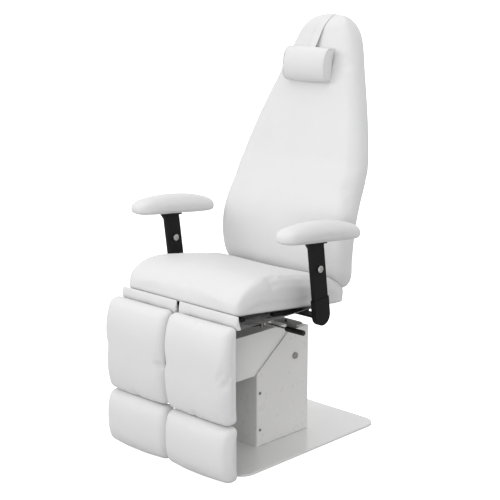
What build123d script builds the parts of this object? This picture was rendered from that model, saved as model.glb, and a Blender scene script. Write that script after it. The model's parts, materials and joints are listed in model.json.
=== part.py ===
from build123d import *
import math
import os

# Podiatry chair on a lift base. Millimetres. +Z is up, the sitter faces -Y, +X is the sitter's left.
# The origin is the middle of the base plate's underside.

# ---- driving dimensions: base -------------------------------------------------------------------
PLATE_WIDTH = 534.0
PLATE_LENGTH = 732.0
PLATE_THICKNESS = 8.0
PLATE_CORNER = 56.0
CASING_HALF_WIDTH = 120.0
CASING_FRONT = -142.0
CASING_REAR = 131.0
CASING_TOP = 407.0
CASING_REAR_TOP = 412.0
CASING_FRONT_TOP = 281.0
FRONT_SHEET_TOP = 274.0
CASING_DIAGONAL_END = 28.0
SHEET = 2.0
FLANGE = 24.0

# ---- driving dimensions: lift -------------------------------------------------------------------
LIFT_PIVOT = (59.0, 306.0)
SEAT_PIVOT = (-280.0, 352.0)
LINK_RISE = 52.0
SHAFT_RADIUS = 10.0
PIN_RADIUS = 6.0
RUNNING_GAP = 0.05
ARM_COVER_BOTTOM = 276.0
ARM_COVER_TOP = 432.0
ARM_COVER_FRONT = -318.0
ACTUATOR_FOOT = (-60.0, 62.0)
ACTUATOR_HEAD = (-110.0, 329.0)

# ---- driving dimensions: seat -------------------------------------------------------------------
SEAT_TILT = 6.0
SEAT_ORIGIN = (-110.0, 530.6)
SEAT_HALF_WIDTH = 278.0
SEAT_FRONT = -296.0
SEAT_REAR = 270.0
SEAT_THICKNESS = 110.0
SEAT_BOTTOM = 8.0
BOARD_THICKNESS = 12.0
RAIL_X = 112.0
RAIL_SIZE = 25.0
RAIL_FRONT = -232.0
RAIL_REAR = 262.0

# ---- driving dimensions: backrest ---------------------------------------------------------------
BACK_TILT = 18.4
BACK_ORIGIN = (78.0, 631.0)
BACK_THICKNESS = 62.0
RECLINE_PIVOT = (182.0, 566.0)
# half width of the backrest at each height along its own plane
BACK_OUTLINE = [
    (284, -43), (292, 10), (301, 110), (299, 190), (292, 280), (283, 390),
    (271, 442), (206, 643), (158, 769), (112, 867), (62, 914),
]
BACK_TOP = 932.0
# how far the backrest curves back from its plane at each height: a tucked lower end and a lumbar swell
BACK_CURVE = [(45, -50), (35, 0), (17, 40), (1, 80), (-10, 120), (-16, 160), (-18, 210), (-10, 300), (-3, 370)]
BACK_STRAIGHT_FROM = 430.0
PILLOW_CENTRE_X = -11.0
PILLOW_LENGTH = 198.0
PILLOW_BOTTOM = 670.0
PILLOW_TOP = 798.0
PILLOW_DEPTH = 60.0
PILLOW_BACK = -6.0
PILLOW_LEAN = 11.0
STRAP_WIDTH = 40.0

# ---- driving dimensions: leg rests --------------------------------------------------------------
LEG_X = 154.0
LEG_HALF_WIDTH = 147.0
LEG_FRONT = -490.0
LEG_BACK = -412.0
CALF_TOP = 554.0
CALF_BOTTOM = 217.0
FOOT_TOP = 210.0
FOOT_BOTTOM = 15.0
LEG_PIVOT = (-392.0, 566.0)
LEG_TUBE_X = 70.0
LEG_HINGE_X = 100.0

# ---- driving dimensions: armrests ---------------------------------------------------------------
ARMREST_X = 354.0
ARMREST_PIVOT = (-72.0, 533.0)
ARMREST_LEAN = 7.5
ARMREST_PIN = 8.0
ARMREST_PIN_COVER = 3.0
SLEEVE_DEPTH = 72.0
SLEEVE_WIDTH = 20.0
SLEEVE_HEIGHT = 60.0
POST_DEPTH = 66.0
POST_WIDTH = 16.0
POST_TOP = 266.0
PAD_X = 356.0
PAD_CENTRE = (-92.0, 790.0)
PAD_TILT = 5.0
PAD_LENGTH = 384.0
PAD_WIDTH = 88.0
PAD_HEIGHT = 72.0

LEVER_Y = -82.0
LEVER_Z = 453.0


def block(x0, x1, y0, y1, z0, z1):
    """A box between two corners."""
    size = Box(x1 - x0, y1 - y0, z1 - z0)
    return Pos((x0 + x1) / 2, (y0 + y1) / 2, (z0 + z1) / 2) * size


def side_plate(points, x0, x1):
    """A flat plate cut to a (y, z) outline, between two x positions."""
    face = make_face(Polyline(*[(0, y, z) for y, z in points], close=True))
    return Pos(x0, 0, 0) * extrude(face, amount=x1 - x0, dir=(1, 0, 0))


def rod_x(centre, radius, x0, x1):
    """A round bar along X at a (y, z) centre."""
    return Pos((x0 + x1) / 2, centre[0], centre[1]) * Rot(0, 90, 0) * Cylinder(radius, x1 - x0)


def rod_y(centre, radius, y0, y1):
    """A round bar along Y at an (x, z) centre."""
    return Pos(centre[0], (y0 + y1) / 2, centre[1]) * Rot(90, 0, 0) * Cylinder(radius, y1 - y0)


def rod_z(x, y, radius, z0, z1):
    return Pos(x, y, (z0 + z1) / 2) * Cylinder(radius, z1 - z0)


def rod_between(start, end, radius):
    """A round bar in a plane of constant x, from one (x, y, z) point to another."""
    a = Vector(*start)
    b = Vector(*end)
    middle = (a + b) * 0.5
    angle = math.degrees(math.atan2(-(b.Y - a.Y), b.Z - a.Z))
    return Pos(middle.X, middle.Y, middle.Z) * Rot(angle, 0, 0) * Cylinder(radius, (b - a).length)


def bar_between(start, end, half_height, x0, x1):
    """A flat bar with round ends between two (y, z) centres."""
    length = math.dist(start, end)
    angle = math.degrees(math.atan2(end[1] - start[1], end[0] - start[0]))
    middle = ((start[0] + end[0]) / 2, (start[1] + end[1]) / 2)
    web = Pos((x0 + x1) / 2, *middle) * Rot(angle, 0, 0) * Box(x1 - x0, length, 2 * half_height)
    return web + rod_x(start, half_height, x0, x1) + rod_x(end, half_height, x0, x1)


def both_sides(shape):
    """The shape and its mirror image across the middle plane, as one group of solids."""
    return Compound(children=[*shape.solids(), *mirror(shape, about=Plane.YZ).solids()])


def in_seat(shape):
    return Location((0, *SEAT_ORIGIN), (-SEAT_TILT, 0, 0)) * shape


def in_back(shape):
    return Location((0, *BACK_ORIGIN), (-BACK_TILT, 0, 0)) * shape


def in_arm_pad(shape, side):
    return Location((side * PAD_X, *PAD_CENTRE), (-PAD_TILT, 0, 0)) * shape


def in_armrest(shape, side):
    return Location((side * ARMREST_X, *ARMREST_PIVOT), (ARMREST_LEAN, 0, 0)) * shape


def seat_point(u, w):
    """The (y, z) place of a point u back along the seat and w above its underside."""
    a = math.radians(SEAT_TILT)
    y = SEAT_ORIGIN[0] + u * math.cos(a) + w * math.sin(a)
    z = SEAT_ORIGIN[1] - u * math.sin(a) + w * math.cos(a)
    return (y, z)


def back_local(point):
    """A (y, z) point in the backrest's own frame."""
    a = math.radians(BACK_TILT)
    dy = point[0] - BACK_ORIGIN[0]
    dz = point[1] - BACK_ORIGIN[1]
    return (dy * math.cos(a) - dz * math.sin(a), dy * math.sin(a) + dz * math.cos(a))


# ---- base ---------------------------------------------------------------------------------------
SCREW_RADIUS = 2.5
TAB_SCREW = (14.0, CASING_TOP - 5)
SCREW_POINTS = [(-125.0, 70.0), (-125.0, 208.0)]
SHEET_SEAM = 1.5


def base_plate():
    plate = extrude(RectangleRounded(PLATE_WIDTH, PLATE_LENGTH, PLATE_CORNER), amount=PLATE_THICKNESS)
    return chamfer(plate.edges().group_by(Axis.Z)[-1], 1.0)


def casing_side_panel(side):
    """The side sheet with its slanted front corner, and a folded strip along the top at the rear."""
    outer = CASING_HALF_WIDTH
    front = CASING_FRONT + SHEET_SEAM
    foot = PLATE_THICKNESS + SHEET_SEAM
    outline = [
        (front, foot),
        (CASING_REAR, foot),
        (CASING_REAR, CASING_TOP),
        (CASING_DIAGONAL_END, CASING_TOP),
        (front, CASING_FRONT_TOP),
    ]
    panel = side_plate(outline, outer - SHEET, outer)
    strip_front = 86.0
    panel += block(outer - FLANGE, outer, strip_front, CASING_REAR, CASING_TOP - SHEET, CASING_TOP)
    for point in SCREW_POINTS:
        panel -= rod_x(point, SCREW_RADIUS + RUNNING_GAP, outer - 2 * SHEET, outer + 1)
    panel -= rod_x(LIFT_PIVOT, SHAFT_RADIUS + 0.5, outer - 2 * SHEET, outer + 1)
    panel -= rod_x((37.0, 375.0), 2.0, outer - 2 * SHEET, outer + 1)
    return panel if side > 0 else mirror(panel, about=Plane.YZ)


def casing_channel(y_face, y_inside, top):
    """A front or rear sheet with a flange folded along each side."""
    inner = CASING_HALF_WIDTH - SHEET - 0.2
    y0, y1 = sorted((y_face, y_inside))
    outer = block(-inner, inner, y0, y1, PLATE_THICKNESS, top)
    web = SHEET if y_face < y_inside else -SHEET
    h0, h1 = sorted((y_face + web, y_inside + web))
    hollow = block(SHEET - inner, inner - SHEET, h0, h1, PLATE_THICKNESS - 1, top + 1)
    channel = outer - hollow
    for y, z in SCREW_POINTS:
        channel -= rod_x((y, z), SCREW_RADIUS + RUNNING_GAP, -inner - 1, inner + 1)
    return channel


def casing_front_panel():
    return casing_channel(CASING_FRONT, CASING_FRONT + FLANGE, FRONT_SHEET_TOP)


def casing_rear_panel():
    """The rear sheet. Its top corners are rounded and one screw sits at the top."""
    panel = casing_channel(CASING_REAR - SHEET, CASING_REAR - SHEET - FLANGE, CASING_TOP - SHEET - 0.5)
    inner = CASING_HALF_WIDTH - FLANGE - 1
    tab = block(-inner, inner, CASING_REAR - 2 * SHEET, CASING_REAR - SHEET, CASING_TOP - 2 * SHEET, CASING_REAR_TOP)
    tab = fillet(tab.edges().filter_by(Axis.Y).group_by(Axis.Z)[-1], 8.0)
    return panel + tab - rod_y(TAB_SCREW, SCREW_RADIUS + RUNNING_GAP, CASING_REAR - 3 * SHEET, CASING_REAR)


def fasteners():
    """Button-head screws of the casing sheets, and the bolts through the pedestal feet."""
    screws = []
    for y, z in SCREW_POINTS:
        shank = rod_x((y, z), SCREW_RADIUS, CASING_HALF_WIDTH - 8, CASING_HALF_WIDTH)
        screws.append(shank + rod_x((y, z), 5.0, CASING_HALF_WIDTH, CASING_HALF_WIDTH + 2.5))
    for y in (-20.0, 90.0):
        screws.append(rod_z(70.0, y, 8.0, PLATE_THICKNESS + 6, PLATE_THICKNESS + 14))
    group = screws[0]
    for screw in screws[1:]:
        group += screw
    sheet_front = CASING_REAR - 2 * SHEET
    tab_screw = rod_y(TAB_SCREW, 5.0, sheet_front - 2.5, sheet_front)
    tab_screw += rod_y(TAB_SCREW, SCREW_RADIUS, sheet_front, sheet_front + 6)
    return Compound(children=[*both_sides(group).solids(), tab_screw])


PEDESTAL_X = (96.0, 104.0)


def pedestal_plates():
    """Two upright steel cheeks with bolted feet. They carry the lift shaft and the link pin."""
    outline = [(-45, PLATE_THICKNESS), (112, PLATE_THICKNESS), (100, 300), (86, 384), (32, 384), (10, 300)]
    cheek = side_plate(outline, *PEDESTAL_X)
    cheek += block(50, PEDESTAL_X[0], -45, 112, PLATE_THICKNESS, PLATE_THICKNESS + 6)
    cheek -= rod_x(LIFT_PIVOT, SHAFT_RADIUS + RUNNING_GAP, 0, 200)
    cheek -= rod_x(link_pivot(LIFT_PIVOT), PIN_RADIUS + RUNNING_GAP, 0, 200)
    return both_sides(cheek)


def link_pivot(point):
    """The levelling link's pivot, straight above the lift arm's."""
    return (point[0], point[1] + LINK_RISE)


def lift_shaft():
    """The shaft that the lift arm turns on, with a domed cap outside each side panel."""
    face = CASING_HALF_WIDTH + 0.5
    cap = rod_x(LIFT_PIVOT, 12.5, face, face + 6)
    cap = fillet(cap.edges().group_by(Axis.X)[-1], 3.0)
    return rod_x(LIFT_PIVOT, SHAFT_RADIUS, -face, face) + cap + mirror(cap, about=Plane.YZ)


def link_pin():
    return rod_x(link_pivot(LIFT_PIVOT), PIN_RADIUS, -PEDESTAL_X[1], PEDESTAL_X[1])


def actuator_mount():
    """A fork on the base plate with the pin that holds the actuator's foot."""
    y, z = ACTUATOR_FOOT
    outline = [(y - 26, PLATE_THICKNESS), (y + 26, PLATE_THICKNESS), (y + 13, z + 14), (y - 13, z + 14)]
    fork = side_plate(outline, 13, 19)
    fork += mirror(fork, about=Plane.YZ)
    fork += block(-30, 30, y - 30, y + 30, PLATE_THICKNESS, PLATE_THICKNESS + 5)
    return fork + rod_x(ACTUATOR_FOOT, PIN_RADIUS, -22, 22)


# ---- lift arm -----------------------------------------------------------------------------------
ARM_BAR_X = (84.0, 92.0)


def arm_bars():
    bar = bar_between(LIFT_PIVOT, SEAT_PIVOT, 22.0, *ARM_BAR_X)
    bar -= rod_x(LIFT_PIVOT, SHAFT_RADIUS + RUNNING_GAP, 0, 200)
    bar -= rod_x(SEAT_PIVOT, PIN_RADIUS + RUNNING_GAP, 0, 200)
    bar -= rod_x(ACTUATOR_HEAD, PIN_RADIUS, 0, 200)
    return both_sides(bar)


def arm_side_covers():
    """White sheet sides of the lift arm, seen through the slanted corner of the casing."""
    outline = [
        (ARM_COVER_FRONT, ARM_COVER_BOTTOM),
        (-20, ARM_COVER_BOTTOM),
        (30, 290),
        (30, 350),
        (18, ARM_COVER_TOP),
        (ARM_COVER_FRONT + 60, ARM_COVER_TOP),
        (ARM_COVER_FRONT, ARM_COVER_BOTTOM + 54),
    ]
    cover = side_plate(outline, 112, 114)
    for y, z in ((ARM_COVER_FRONT + 90, 344.0), (-30.0, 320.0)):
        cover += rod_x((y, z), 7.0, ARM_BAR_X[1], 112)
    return both_sides(cover)


def arm_top_cover():
    """The sheet over the lift arm, with a slanted nose at the front."""
    inner = 111.9
    top = block(-inner, inner, -236, 18, ARM_COVER_TOP - SHEET, ARM_COVER_TOP)
    for side in (-1, 1):
        x0, x1 = sorted((side * (inner - 14), side * inner))
        top += block(x0, x1, ARM_COVER_FRONT + 62, -236, ARM_COVER_TOP - SHEET, ARM_COVER_TOP)
    return top


def arm_cross_members():
    """The tube that ties the two arm bars together, and the pin that the actuator pushes."""
    centre = (-30.0, 318.0)
    tube = rod_x(centre, 14.0, -ARM_BAR_X[0], ARM_BAR_X[0]) - rod_x(centre, 11.0, -90, 90)
    pin = rod_x(ACTUATOR_HEAD, PIN_RADIUS, -ARM_BAR_X[1], ARM_BAR_X[1])
    return Compound(children=[tube, pin])


def level_link():
    """The bar that keeps the seat level. Its front eye has play, because it closes the linkage."""
    rear = link_pivot(LIFT_PIVOT)
    front = link_pivot(SEAT_PIVOT)
    link = bar_between(rear, front, 11.0, -6, 6)
    link += rod_x(rear, 13.0, -20, 20)
    link -= rod_x(rear, PIN_RADIUS + RUNNING_GAP, -30, 30)
    return link - rod_x(front, PIN_RADIUS + 1.5, -30, 30)


# ---- lift actuator ------------------------------------------------------------------------------
def along_actuator(distance):
    span = math.dist(ACTUATOR_FOOT, ACTUATOR_HEAD)
    y = ACTUATOR_FOOT[0] + (ACTUATOR_HEAD[0] - ACTUATOR_FOOT[0]) * distance / span
    z = ACTUATOR_FOOT[1] + (ACTUATOR_HEAD[1] - ACTUATOR_FOOT[1]) * distance / span
    return (0, y, z)


ACTUATOR_TUBE_RADIUS = 19.0
ACTUATOR_ROD_RADIUS = 9.0
MOTOR_RADIUS = 23.0


def actuator_tube():
    """The fixed half of the linear actuator, bored for its rod."""
    tube = rod_between(along_actuator(22), along_actuator(205), ACTUATOR_TUBE_RADIUS)
    tube += rod_between(along_actuator(0), along_actuator(24), 10.0)
    tube += rod_x(ACTUATOR_FOOT, 12.0, -12, 12)
    tube -= rod_x(ACTUATOR_FOOT, PIN_RADIUS + RUNNING_GAP, -30, 30)
    return tube - rod_between(along_actuator(60), along_actuator(206), ACTUATOR_ROD_RADIUS + RUNNING_GAP)


def actuator_motor():
    """The motor housing that stands beside the tube."""
    offset = ACTUATOR_TUBE_RADIUS + MOTOR_RADIUS + 3.0
    motor = Pos(0, offset, 0) * rod_between(along_actuator(36), along_actuator(130), MOTOR_RADIUS)
    return fillet(motor.edges().sort_by(Axis.Z)[-1], 5.0)


def actuator_rod():
    span = math.dist(ACTUATOR_FOOT, ACTUATOR_HEAD)
    rod = rod_between(along_actuator(90), along_actuator(span - 8), ACTUATOR_ROD_RADIUS)
    rod += rod_x(ACTUATOR_HEAD, 16.0, -12, 12)
    return rod - rod_x(ACTUATOR_HEAD, PIN_RADIUS + 4.0, -30, 30)


# ---- seat carrier -------------------------------------------------------------------------------
def carrier_plates():
    """Two cheeks that stand on the lift arm's front pins and hold the seat rails."""
    y, z = SEAT_PIVOT
    rail_front = seat_point(-190, -4 - RAIL_SIZE)
    rail_rear = seat_point(10, -4 - RAIL_SIZE)
    outline = [
        (y - 26, z - 22),
        (y + 26, z - 22),
        (y + 30, 442),
        (rail_rear[0], rail_rear[1] - 34),
        rail_rear,
        rail_front,
        (y - 30, 420),
    ]
    cheek = side_plate(outline, 60, 68)
    for centre in (SEAT_PIVOT, link_pivot(SEAT_PIVOT)):
        cheek -= rod_x(centre, PIN_RADIUS, 0, 200)
    return both_sides(cheek)


def front_pivot_pins():
    upper = rod_x(link_pivot(SEAT_PIVOT), PIN_RADIUS, -68, 68)
    return Compound(children=[rod_x(SEAT_PIVOT, PIN_RADIUS, -94, 94), upper])


def seat_beams():
    """Black steel blocks on the outer faces of the carrier cheeks."""
    beam = block(68, 110, -106, 10, -78, -46)
    return both_sides(in_seat(beam))


def seat_rails():
    """Two square tubes under the seat board."""
    inner = RAIL_X - RAIL_SIZE / 2
    rail = block(inner, inner + RAIL_SIZE, RAIL_FRONT, RAIL_REAR, -4 - RAIL_SIZE, -4)
    hollow = block(inner + 2, inner + RAIL_SIZE - 2, RAIL_FRONT - 1, RAIL_REAR + 1, -2 - RAIL_SIZE, -6)
    return both_sides(in_seat(rail - hollow))


def seat_cross_members():
    """Bars between the rails. The middle one has the fork for the gas spring's foot."""
    inner = RAIL_X - RAIL_SIZE / 2
    front = in_seat(block(-inner, inner, -190, -165, -4 - RAIL_SIZE, -4))
    rear = in_seat(block(-inner, inner, 150, 172, -22, -4))
    y, z = GAS_FOOT
    bottom = seat_point(62, -4)[1] - 1
    ear = block(8, 12, y - 12, y + 12, z - 12, bottom)
    fork = ear + mirror(ear, about=Plane.YZ) + rod_x(GAS_FOOT, 4.0, -12, 12)
    fork += block(-inner, inner, y - 12, y + 12, bottom - 12, bottom)
    return Compound(children=[front, rear, fork])


def seat_board():
    x = SEAT_HALF_WIDTH - 64
    board = block(-x, x, SEAT_FRONT + 82, SEAT_REAR - 32, -4, -4 + BOARD_THICKNESS)
    return in_seat(fillet(board.edges().filter_by(Axis.Z), 30.0))


def seat_cushion():
    """The seat pad. Its rear end slopes down, so that the backrest clears it."""
    outline = [
        (SEAT_FRONT, SEAT_BOTTOM + 16),
        (SEAT_FRONT + 36, SEAT_BOTTOM + 16),
        (SEAT_FRONT + 40, SEAT_BOTTOM),
        (SEAT_REAR, SEAT_BOTTOM),
        (SEAT_REAR, 32),
        (252, 54),
        (222, 71),
        (190, 86),
        (150, 101),
        (110, SEAT_THICKNESS - 1),
        (-200, SEAT_THICKNESS + 16),
        (SEAT_FRONT, SEAT_THICKNESS),
    ]
    pad = side_plate(outline, -SEAT_HALF_WIDTH, SEAT_HALF_WIDTH)
    sides = pad.faces().sort_by(Axis.X)
    return in_seat(chamfer(sides[0].edges() + sides[-1].edges(), 12.0))


def recline_brackets():
    """Hooked plates at the rear of the seat frame, with the stub pins of the backrest hinge."""
    pivot_u, pivot_w = seat_local(RECLINE_PIVOT)
    outline = [
        (190, -4),
        (190, -4 - RAIL_SIZE),
        (292, -4 - RAIL_SIZE),
        (308, -10),
        (308, 46),
        (pivot_u + 10, pivot_w + 12),
        (pivot_u - 8, pivot_w + 10),
        (pivot_u - 10, pivot_w - 2),
        (290, 36),
        (290, -4),
    ]
    x0 = RAIL_X + RAIL_SIZE / 2
    plate = side_plate(outline, x0, x0 + 6)
    plate += rod_x((pivot_u, pivot_w), 6.0, x0, x0 + 16)
    return both_sides(in_seat(plate))


def seat_local(point):
    """A (y, z) point in the seat's own frame."""
    a = math.radians(SEAT_TILT)
    dy = point[0] - SEAT_ORIGIN[0]
    dz = point[1] - SEAT_ORIGIN[1]
    return (dy * math.cos(a) - dz * math.sin(a), dy * math.sin(a) + dz * math.cos(a))


HINGE_PLATE = 4.0
HINGE_PIN = 3.0


def leg_hinge_lugs():
    """A bar under the seat's front edge with pairs of small plates and the leg rests' hinge pins."""
    y, z = LEG_PIVOT
    outline = [
        (y - 4, z),
        (y - 3, z - 3),
        (y, z - 4),
        (y + 7, z - 6),
        (y + 30, 548),
        (y + 46, 548),
        (y + 46, 560),
        (y + 24, 562),
        (y + 7, z + 3),
        (y, z + 4),
        (y - 3, z + 3),
    ]
    group = block(-262, 262, y + 30, y + 46, 548, 560)
    for side in (-1, 1):
        for hinge in (-1, 1):
            centre = side * LEG_X + hinge * LEG_HINGE_X
            group += side_plate(outline, centre - 8, centre - 8 + HINGE_PLATE)
            group += side_plate(outline, centre + 4, centre + 4 + HINGE_PLATE)
            group += rod_x(LEG_PIVOT, HINGE_PIN, centre - 8, centre + 8)
    return group


def front_flap(side):
    """The padded flap in front of the leg rest's hinge. It closes the gap between seat and calf pad."""
    outline = [(-402, 577), (-399, 580), (-396.5, 576), (-396.5, 558), (-381, 534), (-391, 533)]
    x0, x1 = sorted((side * 6, side * 286))
    flap = side_plate(outline, x0, x1)
    for hinge in (-1, 1):
        centre = side * LEG_X + hinge * LEG_HINGE_X
        flap -= block(centre - 3.5, centre + 3.5, -410, -360, 530, 562)
    return flap


ARMREST_BAR = (521.0, 529.0)
ARMREST_BAR_STEP = 10.0


def armrest_brackets():
    """Stepped bars out from the seat rails, each with a strip under the seat's edge and a pivot pin."""
    y, z = ARMREST_PIVOT
    inner = ARMREST_X - SLEEVE_WIDTH / 2 - 9
    low, high = ARMREST_BAR
    bar = block(RAIL_X + RAIL_SIZE / 2, 224, y - 20, y + 20, low - ARMREST_BAR_STEP, high - ARMREST_BAR_STEP)
    bar += block(216, inner, y - 20, y + 20, low, high)
    bar += in_seat(block(252, 268, -105, 75, -3, SEAT_BOTTOM - 0.5))
    cheek = rod_x(ARMREST_PIVOT, 24.0, inner, inner + 6)
    cheek += block(inner, inner + 6, y - 20, y + 20, low, z)
    cheek += rod_x(ARMREST_PIVOT, ARMREST_PIN, inner, ARMREST_X + SLEEVE_WIDTH / 2 - ARMREST_PIN_COVER - 0.5)
    return both_sides(bar + cheek)


LEVER_BRACKET_X = (94.0, 106.0)


def lever_bracket():
    """The plated bracket that carries the release lever, and the grey plate behind it."""
    y, z = LEVER_Y, LEVER_Z
    wall = 3.0
    base = block(*LEVER_BRACKET_X, y - 18, y + 18, z + 14, z + 17)
    front = block(*LEVER_BRACKET_X, y - 18, y - 18 + wall, z - 12, z + 17)
    rear = block(*LEVER_BRACKET_X, y + 18 - wall, y + 18, z - 12, z + 17)
    neck = block(96, 104, y - 6, y + 6, z + 17, seat_point(40, -4 - RAIL_SIZE)[1] - 1)
    plate = block(88, 92, y + 20, y + 46, z - 12, seat_point(80, -4 - RAIL_SIZE)[1] - 1)
    bridge = block(88, 104, y + 14, y + 46, z + 14, z + 17)
    pin = rod_y((100, z), 4.0, y - 18, y + 18)
    return base + front + rear + neck + plate + bridge + pin


def lever_bush():
    """The bronze bush between the lever and its pin."""
    ring = Pos(100, LEVER_Y, LEVER_Z) * Rot(90, 0, 0) * (Cylinder(6.0, 24) - Cylinder(4.0 + RUNNING_GAP, 25))
    return ring


# ---- release lever ------------------------------------------------------------------------------
GRIP_START = 204.0
LEVER_END = 288.0


def lever_rod():
    length = GRIP_START + 50 - 108
    return Pos(108 + length / 2, LEVER_Y, LEVER_Z + 2) * Rot(0, 90, 0) * Cylinder(3.5, length)


def release_lever():
    """A rod welded to a sleeve on the bush."""
    sleeve = Pos(100, LEVER_Y, LEVER_Z) * Rot(90, 0, 0) * (Cylinder(9.0, 20) - Cylinder(6.0 + RUNNING_GAP, 21))
    return sleeve + lever_rod()


def lever_grip():
    """The moulded grip pushed onto the rod."""
    length = LEVER_END - GRIP_START
    middle = (GRIP_START + LEVER_END) / 2
    grip = Cylinder(9.5, length)
    grip = fillet(grip.edges().filter_by(GeomType.CIRCLE), 4.0)
    return Pos(middle, LEVER_Y, LEVER_Z + 2) * Rot(0, 90, 0) * grip - lever_rod()


# ---- backrest -----------------------------------------------------------------------------------
def back_face(inset):
    """The backrest's outline as a face in its own plane, drawn in by the inset."""
    shrink = [(x - inset, max(v - inset * v / BACK_TOP, BACK_OUTLINE[0][1] + inset)) for x, v in BACK_OUTLINE]
    top = BACK_TOP - inset
    right = [(x, 0, v) for x, v in shrink]
    left = [(-x, 0, v) for x, v in reversed(shrink)]
    sides = Spline(*right, (0, 0, top), *left, tangents=((0.1, 0, 1), (0.1, 0, -1)))
    bottom = Line(left[-1], right[0])
    return make_face([sides, bottom])


def curved_sheet(front, thickness, half_width):
    """A sheet of even thickness that follows the backrest's side curve, in the backrest's frame."""
    foot = BACK_CURVE[0][1]
    top = BACK_TOP + 10

    def edge(offset):
        knots = [(0, offset + y, v) for y, v in BACK_CURVE] + [(0, offset, BACK_STRAIGHT_FROM)]
        curve = Spline(*knots, tangents=((0, -0.2, 1), (0, 0, 1)))
        return [curve, Line((0, offset, BACK_STRAIGHT_FROM), (0, offset, top))]

    ends = [foot, top]
    shifts = [BACK_CURVE[0][0], 0]
    closers = [Line((0, front + y, v), (0, front + thickness + y, v)) for y, v in zip(shifts, ends)]
    face = make_face([*edge(front), *edge(front + thickness), *closers])
    return Pos(-half_width, 0, 0) * extrude(face, amount=2 * half_width, dir=(1, 0, 0))


def back_slab(inset, front, thickness):
    """The backrest's outline, cut from a curved sheet."""
    reach = 60
    prism = Pos(0, -reach, 0) * extrude(back_face(inset), amount=4 * reach, dir=(0, 1, 0))
    return prism & curved_sheet(front, thickness, BACK_OUTLINE[2][0] + 10)


def backrest_cushion():
    """The backrest pad. Its lower end is cut at a slant, so that it clears the seat's sloping rear."""
    below = [(-40, -60), (-40, 0), (36, -24), (80, -43), (80, -60)]
    half = BACK_OUTLINE[2][0] + 10
    return in_back(back_slab(0.0, 0.0, BACK_THICKNESS) - side_plate(below, -half, half))


BOARD_FOOT = -8.0


def backrest_board():
    """The board behind the pad. It ends above the hinge arms' eyes."""
    board = back_slab(22.0, BACK_THICKNESS, BOARD_THICKNESS)
    return in_back(board - block(-BACK_OUTLINE[0][0], BACK_OUTLINE[0][0], 0, 200, -60, BOARD_FOOT))


CRANK_PIN = (225.0, 477.0)
CRANK_PLAY = 20.0
CRANK_SLOT_RADIUS = 7.0
FRAME_X = 136.0
UPRIGHT_FOOT = 96.0
UPRIGHT_TOP = 560.0
UPRIGHT_DEPTH = 22.0
# height of each cross strap, and how far behind the backrest's plane it lies
STRAP_PLACES = ((98.0, 71.0), (300.0, 71.0), (500.0, 74.0))


def backrest_uprights():
    """Two curved bars behind the board, each with the hinge arm that turns on the seat frame's stub pin."""
    rear = BACK_THICKNESS + BOARD_THICKNESS
    pivot_y, pivot_v = back_local(RECLINE_PIVOT)
    upright = curved_sheet(rear, UPRIGHT_DEPTH, FRAME_X) & block(FRAME_X - 12, FRAME_X, 0, 200, UPRIGHT_FOOT, UPRIGHT_TOP)
    arm_outline = [
        (rear - 2, UPRIGHT_FOOT + 24),
        (rear + 12, UPRIGHT_FOOT + 24),
        (rear + 30, UPRIGHT_FOOT - 20),
        (pivot_y + 12, pivot_v + 8),
        (pivot_y + 4, pivot_v - 11),
        (pivot_y - 9, pivot_v - 6),
        (rear + 40, 0),
        (rear + 22, 40),
        (rear + 5, 80),
    ]
    arm = side_plate(arm_outline, FRAME_X - 5, FRAME_X)
    bar = in_back(upright + arm) - rod_x(RECLINE_PIVOT, PIN_RADIUS + RUNNING_GAP, 0, 200)
    return both_sides(bar)


STRAP_THICKNESS = 6.0
STRAP_HEIGHT = 36.0


def backrest_straps():
    """Flat cross bars between the uprights."""
    reach = FRAME_X - 12
    straps = []
    for v, rear in STRAP_PLACES:
        straps.append(in_back(block(-reach, reach, rear, rear + STRAP_THICKNESS, v, v + STRAP_HEIGHT)))
    return Compound(children=straps)


def gas_spring_crank():
    """Two hooked plates that reach round the seat's rear edge. Their slots give the rod's pin play."""
    strap_foot, strap_front = STRAP_PLACES[0]
    strap_face = strap_front + STRAP_THICKNESS
    hook = [(214, 596), (236, 548), (226, 500), (211, 488), (211, 464), (239, 464), (250, 494), (259, 550), (232, 606)]
    corners = [back_local(point) for point in hook]
    outline = [(strap_face, strap_foot + 2), *corners, (strap_face, strap_foot + STRAP_HEIGHT - 2)]
    plate = in_back(side_plate(outline, 12, 18))
    radius = math.dist(RECLINE_PIVOT, CRANK_PIN)
    share = CRANK_PLAY / radius
    inner_end = tuple(c + (p - c) * share for c, p in zip(CRANK_PIN, RECLINE_PIVOT))
    return both_sides(plate - bar_between(CRANK_PIN, inner_end, CRANK_SLOT_RADIUS, 0, 30))


def pillow_strap():
    """The elastic strap that runs over the top of the backrest and behind the pillow."""
    x0 = PILLOW_CENTRE_X - 2 - STRAP_WIDTH / 2
    x1 = x0 + STRAP_WIDTH
    top = BACK_TOP + 2
    rear = BACK_THICKNESS + BOARD_THICKNESS
    strap = block(x0, x1, -4, -1.5, PILLOW_BOTTOM + 12, top + 2.5)
    strap += block(x0, x1, -4, rear + 4, top, top + 2.5)
    strap += block(x0, x1, rear + 1.5, rear + 4, 820, top + 2.5)
    return in_back(strap)


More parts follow.
